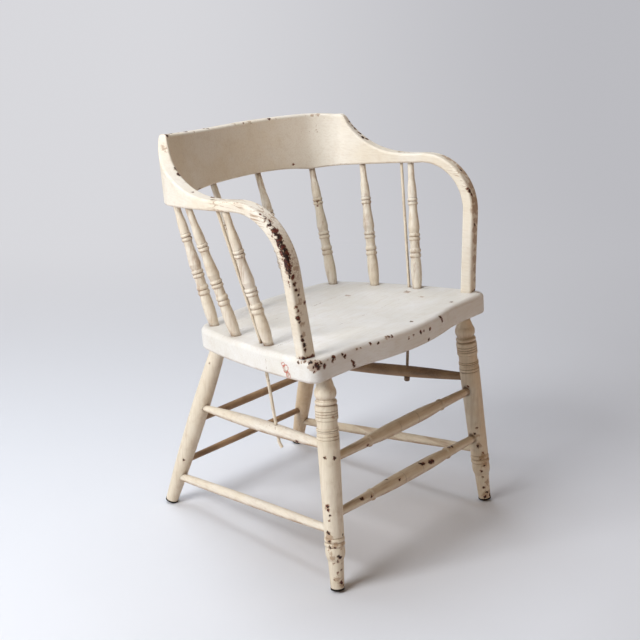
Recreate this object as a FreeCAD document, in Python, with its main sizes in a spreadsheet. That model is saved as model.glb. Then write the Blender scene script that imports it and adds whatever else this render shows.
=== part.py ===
import FreeCAD, Part
import math
import os
import re

import Sketcher
from FreeCAD import Placement, Rotation, Vector

# Captains chair of painted hardwood: a plank seat, turned legs, stretchers and spindles,
# one bent plank for the back and arms, and two steel tie rods.
# +Z is up, the front of the chair faces -Y, and the sitter's left is +X.
# The origin is on the floor in the middle of the chair. Sizes are in mm and degrees.

SIZES = {
    # Seat plank, measured in its own tilted plane from the mark above the origin.
    "seat_height": 423,
    "seat_tilt": 5.43,
    "seat_thickness": 43,
    "seat_front": 215,
    "seat_rear": 144,
    "seat_front_half": 265,
    "seat_rear_half": 197,
    "seat_nose_half": 190,
    "seat_nose_turn": 110,
    "seat_nose_depth": 23.3,
    "seat_side_bulge": 15,
    "seat_rear_bulge": 27,
    "seat_front_corner": 21,
    "seat_rear_corner": 50,
    "seat_top_round": 10,
    "seat_under_round": 7,
    "dish_depth": 6,
    "dish_radius": 170,
    "dish_forward": 18,
    "front_board_depth": 124.5,
    "middle_board_depth": 138,
    "dowel_radius": 5,
    "dowel_length": 50,
    "dowel_spacing": 140,
    # Fits: the gap all round a glued or sliding round joint.
    "joint_gap": 0.1,
    "rod_gap": 0.2,
    # Legs: the inset is from the seat's corner to the leg's middle, under the seat.
    "leg_tenon": 30,
    "front_leg_side_inset": 52,
    "front_leg_end_inset": 25.4,
    "front_leg_splay": 3.64,
    "front_leg_rake": 7.87,
    "rear_leg_side_inset": 52,
    "rear_leg_end_inset": 6,
    "rear_leg_splay": 7.97,
    "rear_leg_rake": 16.3,
    "rear_leg_foot_radius": 12.5,
    "rear_leg_swell_radius": 17.9,
    "rear_leg_top_radius": 14.5,
    "rear_leg_plain_end": 7,
    "front_leg_foot_radius": 12.3,
    "ankle_height": 54,
    "ankle_radius": 14.6,
    "ankle_swell": 2.4,
    "foot_ring_start": 80,
    "foot_ring_pitch": 9,
    "foot_ring_radius": 16.8,
    "foot_ring_swell": 2.2,
    "shaft_start": 100,
    "shaft_low_radius": 18,
    "shaft_high_radius": 20.4,
    "shaft_end_below_seat": 104,
    "collar_line_inset": 4,
    "collar_line_pitch": 6,
    "collar_step": 3,
    "collar_ring_pitch": 3.5,
    "collar_ring_swell": 1.6,
    "collar_to_band": 2,
    "band_below_seat": 78,
    "band_end_below_seat": 54,
    "band_radius": 20.6,
    "band_line_inset": 6,
    "band_line_pitch": 5,
    "bead_below_seat": 51,
    "bead_width": 8,
    "bead_radius": 17.6,
    "bead_swell": 2.6,
    "ball_below_seat": 41,
    "ball_shoulder_below_seat": 20,
    "ball_low_radius": 16.4,
    "ball_high_radius": 16.8,
    "ball_swell": 3.4,
    "neck_below_seat": 4,
    "neck_radius": 12.5,
    "line_width": 2.2,
    "line_depth": 1,
    # Glides under the feet: a domed steel button on a nail, worn flat where it stands.
    "glide_radius": 12.9,
    "glide_rim": 3,
    "glide_dome": 3.5,
    "glide_wear": 0.4,
    "glide_tip_radius": 1,
    "nail_radius": 1.5,
    "nail_length": 18,
    # Stretchers: the heights are above the floor, on the legs' middle lines.
    "front_upper_height": 244.7,
    "front_lower_height": 141.9,
    "rear_upper_height": 191.4,
    "rear_lower_height": 95.9,
    "side_upper_front_height": 270.2,
    "side_upper_rear_height": 221.7,
    "side_lower_front_height": 113.1,
    "side_lower_rear_height": 61.2,
    "stretcher_past_middle": 5,
    "stretcher_tenon": 24,
    "front_stretcher_end_radius": 8,
    "front_stretcher_bead_radius": 9.8,
    "front_stretcher_middle_radius": 13,
    "front_stretcher_bead_inset": 106,
    "front_stretcher_bead_width": 8,
    "front_stretcher_bead_swell": 1.9,
    "front_stretcher_line_offset": 28,
    "front_stretcher_middle_half": 34,
    "front_stretcher_swell": 0.9,
    "side_upper_front_radius": 8,
    "side_upper_middle_radius": 12,
    "side_upper_rear_radius": 6.75,
    "side_lower_front_radius": 7.5,
    "side_lower_middle_radius": 9.6,
    "side_lower_rear_radius": 8.2,
    "rear_upper_end_radius": 7.2,
    "rear_upper_middle_radius": 8,
    "rear_lower_end_radius": 6.2,
    "rear_lower_middle_radius": 6.9,
    # Arm bow: one bent plank. Its plan is three arcs from the middle of the back to an arm.
    "bow_rear": 231.2,
    "bow_back_radius": 560,
    "bow_back_turn": 19.5,
    "bow_corner_radius": 85,
    "bow_corner_turn": 55,
    "bow_side_radius": 845,
    "bow_thickness": 28,
    "bow_edge_round": 4.5,
    "arm_level": 675.6,
    "arm_slope": 8,
    "arm_depth": 19,
    "bend_ease": 1.5,
    "post_depth": 23,
    "post_turn": 12,
    "crest_top": 759,
    "crest_arch": 13,
    "crest_arch_ease": 3,
    "crest_lean": 8.5,
    "crest_thinning": 12,
    "left_crest_rise": 0,
    "left_shoulder_start": 266,
    "left_shoulder_end": 440,
    "right_crest_rise": 13,
    "right_shoulder_start": 195,
    "right_shoulder_end": 425,
    "shoulder_ease": 0.5,
    "arm_bend_radius": 105,
    "post_end_inset": 35,
    "post_side_inset": 17.2,
    "post_tenon_radius": 9,
    "post_tenon_length": 34,
    # Spindles: the marks on the seat, and the places along the bow from its middle.
    "spindle_front_inset": 28.8,
    "spindle_middle_inset": 25,
    "spindle_rear_inset": 29.5,
    "spindle_front_mark": 145,
    "spindle_middle_mark": 244,
    "spindle_rear_mark": 26,
    "spindle_back_mark": 20.5,
    "spindle_back_spread": 55,
    "spindle_back_run": 64,
    "spindle_rear_run": 201,
    "spindle_middle_run": 314,
    "spindle_front_run": 428,
    "spindle_seat_depth": 22,
    "spindle_bow_depth": 13,
    "spindle_plain_end": 5,
    "spindle_foot_radius": 9.3,
    "spindle_foot_swell": 1.8,
    "spindle_neck_radius": 9.7,
    "spindle_belly_radius": 11.7,
    "spindle_waist_radius": 8.5,
    "spindle_vase_radius": 9.2,
    "spindle_vase_swell": 0.9,
    "spindle_slim_radius": 6.8,
    "spindle_top_radius": 6.3,
    "low_ring_start": 62,
    "low_ring_pitch": 10,
    "middle_ring_start": 97,
    "middle_ring_pitch": 8,
    "belly_end": 124,
    "waist_end": 160,
    "high_ring_start": 170,
    "high_ring_pitch": 7.75,
    "vase_end": 222,
    "ring_swell": 2,
    # Tie rods: from a head in the arm, through the seat, to the upper side stretcher.
    "rod_radius": 3,
    "rod_seat_mark": 165,
    "rod_side_inset": 26.6,
    "rod_run": 406,
    "rod_stretcher_mark": 147,
    "rod_head_radius": 5.5,
    "rod_head_thickness": 3,
    "rod_head_sink": 0.8,
    "rod_tail": 12,
    "rod_tail_bend": 25,
    "nut_radius": 6,
    "nut_length": 9,
    "nut_crown": 3,
    "nut_crown_swell": 0.8,
    "nut_bore_depth": 6,
    "nut_seat_gap": 0.3,
}

os.makedirs("parts", exist_ok=True)
doc = FreeCAD.newDocument("captains_chair")
sheet = doc.addObject("Spreadsheet::Sheet", "Sizes")
for row, (alias, number) in enumerate(SIZES.items(), start=1):
    sheet.set(f"A{row}", alias)
    sheet.set(f"B{row}", str(number))
    sheet.setAlias(f"B{row}", alias)
doc.recompute()

SIDES = {"right": -1, "left": 1}
# How far a drill or a cutting block reaches past the wood, so that it cuts right through the surface.
OVERCUT = 20
nodes = {}


def cells(text):
    """Turn words such as seat_height into references to the sheet's cells."""
    return re.sub(r"[a-z]+_[a-z_]+", r"Sizes.\g<0>", text)


def size(text):
    return float(sheet.evalExpression(cells(text)))


def sine(degrees):
    return math.sin(math.radians(degrees))


def cosine(degrees):
    return math.cos(math.radians(degrees))


def slope(degrees):
    return math.tan(math.radians(degrees))


def keep(name, piece):
    """Give a finished piece its own name."""
    piece.Label = name
    nodes[name] = piece
    return piece


def along(start, direction):
    """A placement at start whose own Z points along direction."""
    return Placement(start, Rotation(Vector(0, 0, 1), direction))


# Seat frame: its Z is square to the plank, and its origin is the mark above the chair's origin.
SEAT = Placement(Vector(0, 0, size("seat_height")), Rotation(Vector(1, 0, 0), -size("seat_tilt")))
SQUARE_TO_SEAT = SEAT.Rotation.multVec(Vector(0, 0, 1))


def on_seat(x, y, below=0):
    return SEAT.multVec(Vector(x, y, -below))


def seat_side(y):
    """Half width of the seat's outline at y, on the arc of its side."""
    front = Vector(size("seat_front_half"), -size("seat_front"), 0)
    rear = Vector(size("seat_rear_half"), size("seat_rear"), 0)
    chord = rear - front
    bulge = size("seat_side_bulge")
    radius = chord.Length ** 2 / (8 * bulge) + bulge / 2
    outward = Vector(chord.y, -chord.x, 0).normalize()
    middle = (front + rear) / 2 + outward * (bulge - radius)
    return middle.x + math.sqrt(radius ** 2 - (y - middle.y) ** 2)


def origin_plane(body, role):
    return next(item for item in body.Origin.OriginFeatures if item.Role == role)


def sketch_on(body, name, role):
    sketch = body.newObject("Sketcher::SketchObject", name)
    sketch.AttachmentSupport = (origin_plane(body, role), [""])
    sketch.MapMode = "FlatFace"
    return sketch


def bind(sketch, rules):
    """Add (constraint, expression) pairs, tying those with an expression to the sheet."""
    first = sketch.ConstraintCount
    sketch.addConstraint([constraint for constraint, _ in rules])
    for place, (_, text) in enumerate(rules):
        if text is not None:
            sketch.setExpression(f"Constraints[{first + place}]", cells(text))


def outline(sketch, corners):
    """Draw a closed outline. A corner is (x, y, bulge): bulge is that of the edge leading to it."""
    points = [Vector(size(x), size(y), 0) for x, y, _ in corners]
    rules = []
    ends = []
    for place, (x, y, bulge) in enumerate(corners):
        start = points[place - 1]
        end = points[place]
        if bulge is None:
            edge = sketch.addGeometry(Part.LineSegment(start, end), False)
            ends.append((edge, 1, 2))
        else:
            chord = end - start
            outward = Vector(chord.y, -chord.x, 0).normalize()
            crown = (start + end) / 2 + outward * size(bulge)
            if size(bulge) > 0:
                edge = sketch.addGeometry(Part.Arc(start, crown, end), False)
                ends.append((edge, 1, 2))
            else:
                edge = sketch.addGeometry(Part.Arc(end, crown, start), False)
                ends.append((edge, 2, 1))
            x_before, y_before, _ = corners[place - 1]
            chord_squared = f"((({x})-({x_before}))^2+(({y})-({y_before}))^2)"
            text = f"abs({chord_squared}/8/({bulge})+({bulge})/2)"
            radius = size(chord_squared) / 8 / abs(size(bulge)) + abs(size(bulge)) / 2
            rules.append((Sketcher.Constraint("Radius", edge, radius), text))
    for place, (x, y, _) in enumerate(corners):
        edge, _, last = ends[place]
        following, first, _ = ends[(place + 1) % len(ends)]
        rules.append((Sketcher.Constraint("Coincident", edge, last, following, first), None))
        for kind, text, number in (("DistanceX", x, points[place].x), ("DistanceY", y, points[place].y)):
            if abs(number) < 1e-9:
                axis = -2 if kind == "DistanceX" else -1
                rules.append((Sketcher.Constraint("PointOnObject", edge, last, axis), None))
            else:
                rules.append((Sketcher.Constraint(kind, -1, 1, edge, last, number), text))
    bind(sketch, rules)


def turned(name, steps):
    """Lathe work. A step is (height, radius) for a straight cut or (height, radius, swell) for a bead."""
    body = doc.addObject("PartDesign::Body", name + "_turning")
    sketch = sketch_on(body, name + "_outline", "XZ_Plane")
    rises = [step if len(step) == 3 else (*step, None) for step in steps]
    corners = [("0", rises[0][0], None)]
    corners += [(radius, height, swell) for height, radius, swell in rises]
    corners.append(("0", rises[-1][0], None))
    outline(sketch, corners)
    spun = body.newObject("PartDesign::Revolution", name + "_spun")
    spun.Profile = sketch
    spun.ReferenceAxis = (sketch, ["V_Axis"])
    spun.Angle = 360
    sketch.Visibility = False
    return body


def rod_piece(name, start, direction, radius, length):
    """A plain round solid from start along direction. Radius and length are expressions."""
    cylinder = doc.addObject("Part::Cylinder", name)
    cylinder.setExpression("Radius", cells(radius))
    cylinder.setExpression("Height", cells(length))
    cylinder.Placement = along(start, direction)
    return cylinder


def cut(name, base, tools):
    """Take the tools out of the base, and check that every one of them removes wood."""
    doc.recompute()
    for tool in tools:
        if not base.Shape.common(tool.Shape).Solids:
            raise ValueError(f"{tool.Label} misses {base.Label}")
    group = doc.addObject("Part::Compound", name + "_cutters")
    group.Links = tools
    result = doc.addObject("Part::Cut", name)
    result.Base = base
    result.Tool = group
    return result


# Legs: each is a line from its foot on the floor to its mark under the seat.
def leg_line(side, end):
    """Foot on the floor, and the direction that rises by one for each mm of height."""
    inset = size(f"{end}_leg_end_inset")
    lengthways = inset - size("seat_front") if end == "front" else size("seat_rear") - inset
    sideways = size(f"seat_{end}_half") - size(f"{end}_leg_side_inset")
    mark = on_seat(SIDES[side] * sideways, lengthways, size("seat_thickness"))
    rake = slope(size(f"{end}_leg_rake"))
    rise = Vector(-SIDES[side] * slope(size(f"{end}_leg_splay")), rake if end == "front" else -rake, 1)
    return mark - rise * mark.z, rise


def on_leg(side, end, height):
    foot, rise = leg_line(side, end)
    return foot + rise * size(height)


def dome_middle():
    """Radius of a glide's dome, and how far its middle lies above the leg's lower end."""
    radius = (size("glide_radius") ** 2 + size("glide_dome") ** 2) / (2 * size("glide_dome"))
    return radius, radius - size("glide_dome + glide_rim")


def leg_ends(side, end):
    """Lower end of the leg, its direction, and its length up to the seat's underside."""
    foot, rise = leg_line(side, end)
    axis = Vector(rise).normalize()
    dome, offset = dome_middle()
    lower = (dome - size("glide_wear")) * rise.Length - offset
    to_underside = on_seat(0, 0, size("seat_thickness")) - foot
    length = SQUARE_TO_SEAT.dot(to_underside) / SQUARE_TO_SEAT.dot(axis) - lower
    return foot + axis * lower, axis, length


def fine_line(middle, radius):
    """A shallow scribed line round a turning."""
    return [(f"{middle} - line_width / 2", radius),
            (middle, f"{radius} - line_depth"),
            (f"{middle} + line_width / 2", radius)]


def rings(start, pitch, count, radius, swell):
    """Beads side by side."""
    return [(f"{start} + {turn + 1} * {pitch}", radius, swell) for turn in range(count)]


def front_leg_steps(length):
    """Foot, ankle, two rings, a plain shaft, a ringed collar and band, then bead, ball and neck."""
    steps = [("0", "front_leg_foot_radius"),
             ("ankle_height", "ankle_radius"),
             ("foot_ring_start", "foot_ring_radius", "ankle_swell")]
    steps += rings("foot_ring_start", "foot_ring_pitch", 2, "foot_ring_radius", "foot_ring_swell")
    steps += [("shaft_start", "shaft_low_radius")]
    shaft_end = f"{length} - shaft_end_below_seat"
    band = f"{length} - band_below_seat"
    collar_radius = "shaft_high_radius - collar_ring_swell"
    for line in (1, 0):
        below = f"collar_line_inset + {line} * collar_line_pitch"
        steps += fine_line(f"{shaft_end} - ({below})", "shaft_high_radius")
    steps += [(f"{shaft_end} + collar_step", collar_radius)]
    steps += rings(f"{shaft_end} + collar_step", "collar_ring_pitch", 2, collar_radius, "collar_ring_swell")
    steps += [(f"{band} - collar_to_band", collar_radius), (band, "band_radius")]
    for line in range(3):
        steps += fine_line(f"{band} + band_line_inset + {line} * band_line_pitch", "band_radius")
    steps += [(f"{length} - band_end_below_seat", "band_radius"),
              (f"{length} - bead_below_seat", "bead_radius"),
              (f"{length} - bead_below_seat + bead_width", "bead_radius", "bead_swell"),
              (f"{length} - ball_below_seat", "ball_low_radius"),
              (f"{length} - ball_shoulder_below_seat", "ball_high_radius", "ball_swell"),
              (f"{length} - neck_below_seat", "neck_radius"),
              (f"{length} + leg_tenon", "neck_radius")]
    return steps


def glide_steps():
    """The dome from its tip to its rim, the rim, and the nail above it."""
    across = "(glide_radius - glide_tip_radius)"
    dome = "((glide_radius^2 + glide_dome^2) / (2 * glide_dome))"
    bulge = f"{dome} - sqrt({dome}^2 - ({across}^2 + glide_dome^2) / 4)"
    return [("0", "glide_tip_radius"),
            ("glide_dome", "glide_radius", bulge),
            ("glide_dome + glide_rim", "glide_radius"),
            ("glide_dome + glide_rim", "nail_radius"),
            ("glide_dome + glide_rim + nail_length", "nail_radius")]


def rear_leg_steps(length):
    """A plain swelled turning."""
    swell = "rear_leg_swell_radius - (rear_leg_foot_radius + rear_leg_top_radius) / 2"
    return [("0", "rear_leg_foot_radius"),
            (f"{length} - rear_leg_plain_end", "rear_leg_top_radius", swell),
            (f"{length} + leg_tenon", "rear_leg_top_radius")]


# Stretchers: each joins two points on two legs' middle lines, and goes a little past both.
STRETCHERS = {}
for level in ("upper", "lower"):
    for end in ("front", "rear"):
        STRETCHERS[f"stretcher_{end}_{level}"] = (
            ("right", end, f"{end}_{level}_height"), ("left", end, f"{end}_{level}_height"))
    for side in SIDES:
        STRETCHERS[f"stretcher_side_{level}_{side}"] = (
            (side, "front", f"side_{level}_front_height"), (side, "rear", f"side_{level}_rear_height"))


def stretcher_line(name):
    """Start, direction and length of a stretcher between its legs' middle lines."""
    start, end = [on_leg(*place) for place in STRETCHERS[name]]
    return start, (end - start).normalize(), (end - start).Length


def end_radii(name):
    """Radii of a stretcher's two ends, as expressions."""
    kind = name.split("_")[1]
    level = name.split("_")[2]
    if kind == "front":
        return "front_stretcher_end_radius", "front_stretcher_end_radius"
    if kind == "rear":
        return f"rear_{level}_end_radius", f"rear_{level}_end_radius"
    return f"side_{level}_front_radius", f"side_{level}_rear_radius"


def front_stretcher_steps(length):
    """Slim ends, a bead towards each end, and two scribed lines beside the thick middle."""
    total = f"{length} + 2 * stretcher_past_middle"
    middle = f"{length / 2} + stretcher_past_middle"
    low = "stretcher_past_middle + front_stretcher_bead_inset"
    high = f"{length} + stretcher_past_middle - front_stretcher_bead_inset"
    bead = "front_stretcher_bead_radius"
    body = "front_stretcher_middle_radius"
    steps = [("0", "front_stretcher_end_radius"),
             ("stretcher_past_middle + stretcher_tenon", "front_stretcher_end_radius"),
             (low, bead),
             (f"{low} + front_stretcher_bead_width", bead, "front_stretcher_bead_swell")]
    steps += [(f"{middle} - front_stretcher_middle_half", body, "front_stretcher_swell")]
    steps += fine_line(f"{middle} - front_stretcher_line_offset", body)
    steps += fine_line(f"{middle} + front_stretcher_line_offset", body)
    steps += [(f"{middle} + front_stretcher_middle_half", body),
              (f"{high} - front_stretcher_bead_width", bead, "front_stretcher_swell"),
              (high, bead, "front_stretcher_bead_swell"),
              (f"{total} - stretcher_past_middle - stretcher_tenon", "front_stretcher_end_radius"),
              (total, "front_stretcher_end_radius")]
    return steps


def plain_stretcher_steps(length, first, middle, last):
    """A turning that swells from both tenons to its middle."""
    tenon = "stretcher_past_middle + stretcher_tenon"
    return [("0", first),
            (tenon, first),
            (f"{length} + 2 * stretcher_past_middle - ({tenon})", last, f"{middle} - ({first} + {last}) / 2"),
            (f"{length} + 2 * stretcher_past_middle", last)]


# Arm bow: stations along the plank's middle line, from the middle of the back to a post's foot.
BOW_ARCS = [(size("bow_back_radius"), math.radians(size("bow_back_turn"))),
            (size("bow_corner_radius"), math.radians(size("bow_corner_turn"))),
            (size("bow_side_radius"), math.pi)]


# Spacing of the sections along the plank and down a post, and the step of the search for the arm's end.
PLANK_SPACING = 14
POST_SPACING = 30
RUN_STEP = 0.5


def bow_plan(run):
    """Point of the middle line in plan, run mm from the back's middle, and its outward side's angle."""
    point = Vector(0, size("bow_rear"), 0)
    heading = 0.0
    for radius, turn in BOW_ARCS:
        step = min(run / radius, turn)
        point += Vector(math.sin(heading + step) - math.sin(heading),
                        math.cos(heading + step) - math.cos(heading), 0) * radius
        heading += step
        run -= step * radius
    return point, heading


def bow_underside(run):
    point, _ = bow_plan(run)
    back = math.radians(size("bow_back_turn")) * size("bow_back_radius")
    arch = max(0.0, 1 - (run / back) ** size("crest_arch_ease")) * size("crest_arch")
    return Vector(point.x, point.y, size("arm_level") - slope(size("arm_slope")) * point.y + arch)


def crest_share(side, run):
    """1 along the crest, falling in an ogee down the shoulder to 0 along the arm."""
    start = size(f"{side}_shoulder_start")
    share = (run - start) / (size(f"{side}_shoulder_end") - start)
    return (1 + math.cos(math.pi * min(max(share, 0.0), 1.0) ** size("shoulder_ease"))) / 2


def bow_height(side, run):
    """Height of the plank above its underside."""
    top = size("crest_top")
    top += size(f"{side}_crest_rise") * min(run / size(f"{side}_shoulder_start"), 1.0) ** 2
    full = top - bow_underside(run).z - size("arm_depth")
    return size("arm_depth") + crest_share(side, run) * full


def post_mark(side):
    lengthways = size("post_end_inset") - size("seat_front")
    return on_seat(SIDES[side] * (seat_side(lengthways) - size("post_side_inset")), lengthways)


def plank_section(centre, across, up, depth, thinning=0):
    """A rounded section round centre: the plank's thickness lies along across, its depth along up.
    Thinning is taken off the inner face, all of it at the top and none at the bottom."""
    half = size("bow_thickness") / 2
    edge = size("bow_edge_round")
    corners = [(half, -depth / 2), (half, depth / 2), (-half, depth / 2), (-half, -depth / 2)]

    def place(a, b):
        taken = thinning * (0.5 + b / depth) * (0.5 - a / (2 * half))
        return centre + across * (a + taken) + up * b

    edges = []
    for turn, (a, b) in enumerate(corners):
        before = corners[turn - 1]
        after = corners[(turn + 1) % 4]
        in_a = a + math.copysign(edge, before[0] - a) if before[0] != a else a
        in_b = b + math.copysign(edge, before[1] - b) if before[1] != b else b
        out_a = a + math.copysign(edge, after[0] - a) if after[0] != a else a
        out_b = b + math.copysign(edge, after[1] - b) if after[1] != b else b
        pull = edge * (1 - math.sqrt(0.5))
        crown = place(a - math.copysign(pull, a), b - math.copysign(pull, b))
        edges.append((place(in_a, in_b), crown, place(out_a, out_b)))
    wire = []
    for turn, (start, crown, end) in enumerate(edges):
        wire.append(Part.Arc(start, crown, end).toShape())
        wire.append(Part.LineSegment(end, edges[(turn + 1) % 4][0]).toShape())
    return Part.Wire(wire)


def bend_geometry():
    """Where the arm's middle line leaves its slope, and the bend's middle, in the side view (y, z)."""
    level = size("arm_level") + size("arm_depth") / 2
    fall = slope(size("arm_slope"))
    foot = post_mark("left")
    lean = SQUARE_TO_SEAT.y / SQUARE_TO_SEAT.z
    radius = size("arm_bend_radius")
    down_arm = radius * math.sqrt(1 + fall ** 2)
    behind_post = radius * math.sqrt(1 + lean ** 2)
    # The middle lies below the arm's line and behind the post's line by the same radius.
    middle_z = (level - down_arm - fall * (foot.y + behind_post - lean * foot.z)) / (1 + fall * lean)
    middle_y = foot.y + behind_post + lean * (middle_z - foot.z)
    return Vector(0, middle_y, middle_z)


def turned_out(up, heading, share):
    """Across and up of a section, turned outwards about the bow's path as a share of the whole turn."""
    start = 90 - math.degrees(heading)
    path = Vector(1, 0, 0).cross(up)
    twist = Rotation(path, -(start + (size("post_turn") - start) * share))
    return twist.multVec(Vector(1, 0, 0)), twist.multVec(up)


def bow_stations(side):
    """Inputs of half the bow's plank sections, from the back's middle to the post's foot."""
    middle = bend_geometry()
    radius = size("arm_bend_radius")
    arm_end_y = middle.y + radius * sine(size("arm_slope"))
    arm_run = 0.0
    while bow_plan(arm_run)[0].y > arm_end_y:
        arm_run += RUN_STEP
    shoulder = size(f"{side}_shoulder_start")
    runs = []
    for start, end in ((0, shoulder), (shoulder, arm_run)):
        parts = round((end - start) / PLANK_SPACING)
        runs += [start + (end - start) * part / parts for part in range(parts)]
    stations = []
    for run in runs:
        _, heading = bow_plan(run)
        depth = bow_height(side, run)
        lean = size("crest_lean") * math.cos(heading) ** 2
        outward = Vector(math.sin(heading), math.cos(heading), 0)
        up = Vector(0, 0, 1) + outward * slope(lean)
        thinning = size("crest_thinning") * crest_share(side, run) ** 2
        stations.append((bow_underside(run) + up * (depth / 2), outward, up, depth, thinning))
    # The bend turns about X, and the plank's middle line swings in to the post's mark.
    arm_end, heading = bow_plan(arm_run)
    foot = post_mark("left")
    turn = 90 + size("arm_slope") - size("seat_tilt")
    bend_length = math.radians(turn) * radius
    bend_end = middle + Vector(0, -cosine(size("seat_tilt")), sine(size("seat_tilt"))) * radius
    post_length = Vector(0, foot.y - bend_end.y, foot.z - bend_end.z).Length
    swing = math.cos(heading)
    ease = size("bend_ease")
    eased = bend_length / (ease + 1)
    inward = (foot.x - arm_end.x - swing * (bend_length - eased)) / (eased + post_length)
    total = bend_length + post_length
    bend_parts = round(bend_length / PLANK_SPACING)
    for part in range(bend_parts + 1):
        share = part / bend_parts
        angle = share * turn - size("arm_slope")
        gone = share * bend_length
        x = arm_end.x + gone * (swing + (inward - swing) * share ** ease / (ease + 1))
        centre = Vector(x, middle.y - radius * sine(angle), middle.z + radius * cosine(angle))
        tip = share * (90 - size("seat_tilt"))
        up = Vector(0, -sine(tip), cosine(tip))
        depth = size("arm_depth") + share * (size("post_depth") - size("arm_depth"))
        stations.append((centre, *turned_out(up, heading, gone / total), depth))
    x_end = stations[-1][0].x
    post_parts = round(post_length / POST_SPACING)
    for part in range(1, post_parts + 1):
        share = part / post_parts
        gone = bend_length + share * post_length
        down = bend_end + (Vector(0, foot.y, foot.z) - bend_end) * share
        centre = Vector(x_end + (foot.x - x_end) * share, down.y, down.z)
        stations.append((centre, *turned_out(up, heading, gone / total), size("post_depth")))
    return stations


def arm_bow_blank():
    """The bent plank, lofted from one post's foot round the back to the other's."""
    mirrored = [(*[Vector(-line.x, line.y, line.z) for line in station[:3]], *station[3:])
                for station in reversed(bow_stations("right")[1:])]
    sections = [plank_section(*station) for station in mirrored + bow_stations("left")]
    blank = doc.addObject("Part::Feature", "arm_bow_blank")
    blank.Shape = Part.makeLoft(sections, True, False)
    return blank


# Spindles: (name, side, mark on the seat, run along the bow).
def side_mark(side, lengthways, inset):
    return on_seat(SIDES[side] * (seat_side(lengthways) - size(inset)), lengthways)


SPINDLES = {}
for side in SIDES:
    for place, mark in (("front", "spindle_front_mark - seat_front"),
                        ("middle", "spindle_middle_mark - seat_front"),
                        ("rear", "seat_rear - spindle_rear_mark")):
        SPINDLES[f"spindle_{side}_{place}"] = (
            side_mark(side, size(mark), f"spindle_{place}_inset"), side, f"spindle_{place}_run")
    back_mark = on_seat(SIDES[side] * size("spindle_back_spread"), size("seat_rear - spindle_back_mark"))
    SPINDLES[f"spindle_{side}_back"] = (back_mark, side, "spindle_back_run")


def under_bow(side, run):
    point = bow_underside(size(run))
    return Vector(SIDES[side] * point.x, point.y, point.z)


def spindle_steps(length):
    """A swelled foot, two pairs of rings, a belly over a waist, two rings, and a vase with a slim top."""
    base = "spindle_seat_depth"
    neck = "spindle_neck_radius"
    steps = [("0", "spindle_foot_radius"),
             (f"{base} + spindle_plain_end", "spindle_foot_radius"),
             (f"{base} + low_ring_start", neck, "spindle_foot_swell")]
    steps += rings(f"{base} + low_ring_start", "low_ring_pitch", 2, neck, "ring_swell")
    steps += [(f"{base} + middle_ring_start", neck)]
    steps += rings(f"{base} + middle_ring_start", "middle_ring_pitch", 2, neck, "ring_swell")
    steps += [(f"{base} + belly_end", "spindle_belly_radius"),
              (f"{base} + waist_end", "spindle_waist_radius"),
              (f"{base} + high_ring_start", "spindle_waist_radius")]
    steps += rings(f"{base} + high_ring_start", "high_ring_pitch", 2, "spindle_waist_radius", "ring_swell")
    steps += [(f"{base} + high_ring_start + 2 * high_ring_pitch", "spindle_vase_radius"),
              (f"{base} + vase_end", "spindle_slim_radius", "spindle_vase_swell"),
              (f"{base} + {length} - spindle_plain_end", "spindle_top_radius"),
              (f"{base} + {length} + spindle_bow_depth", "spindle_top_radius")]
    return steps


# Tie rods: the line from the seat's mark up to the arm, and down to the upper side stretcher.
def rod_points(side):
    lengthways = size("rod_seat_mark - seat_front")
    mark = side_mark(side, lengthways, "rod_side_inset")
    top = under_bow(side, "rod_run")
    start, direction, _ = stretcher_line(f"stretcher_side_upper_{side}")
    return mark, top, start + direction * size("rod_stretcher_mark")


# Seat blank: the outline, square to the plank, with rounded corners and edges and a shallow dish.
seat = doc.addObject("PartDesign::Body", "seat_blank")
seat_sketch = sketch_on(seat, "seat_outline", "XY_Plane")
# The front edge is straight from each corner, then a hollow arc meets the round nose at its turn.
NOSE_SLOPE = "seat_nose_depth / seat_nose_half"
HOLLOW_WIDTH = "(seat_nose_half - seat_nose_turn)"
HOLLOW_Y = f"-(seat_front + {HOLLOW_WIDTH} * {NOSE_SLOPE})"
HOLLOW_BULGE = f"-{HOLLOW_WIDTH} * sqrt(1 + ({NOSE_SLOPE})^2) / 2 * tan(atan({NOSE_SLOPE}) / 2)"
outline(seat_sketch, [("-seat_nose_half", "-seat_front", None),
                      ("-seat_nose_turn", HOLLOW_Y, HOLLOW_BULGE),
                      ("seat_nose_turn", HOLLOW_Y, f"seat_nose_turn * {NOSE_SLOPE}"),
                      ("seat_nose_half", "-seat_front", HOLLOW_BULGE),
                      ("seat_front_half", "-seat_front", None),
                      ("seat_rear_half", "seat_rear", "seat_side_bulge"),
                      ("-seat_rear_half", "seat_rear", "seat_rear_bulge"),
                      ("-seat_front_half", "-seat_front", "seat_side_bulge")])
seat_pad = seat.newObject("PartDesign::Pad", "seat_plank")
seat_pad.Profile = seat_sketch
seat_pad.setExpression("Length", cells("seat_thickness"))
seat_pad.Reversed = True
doc.recompute()


def rounded(body, base, name, radius, chosen):
    """Round the edges of base for which chosen(edge) is true."""
    picked = [f"Edge{place}" for place, edge in enumerate(base.Shape.Edges, start=1) if chosen(edge)]
    fillet = body.newObject("PartDesign::Fillet", name)
    fillet.Base = (base, picked)
    fillet.setExpression("Radius", cells(radius))
    doc.recompute()
    return fillet


def upright_at(edge, half_width, y):
    """Whether an edge is one of the two upright ones at this half width and y."""
    middle = edge.CenterOfMass
    off = Vector(abs(middle.x) - size(half_width), middle.y - size(y), 0).Length
    return edge.BoundBox.ZLength > size("seat_thickness") / 2 and off < MATCH


def level_at(edge, height):
    return max(abs(edge.BoundBox.ZMin - height), abs(edge.BoundBox.ZMax - height)) < MATCH


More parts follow.
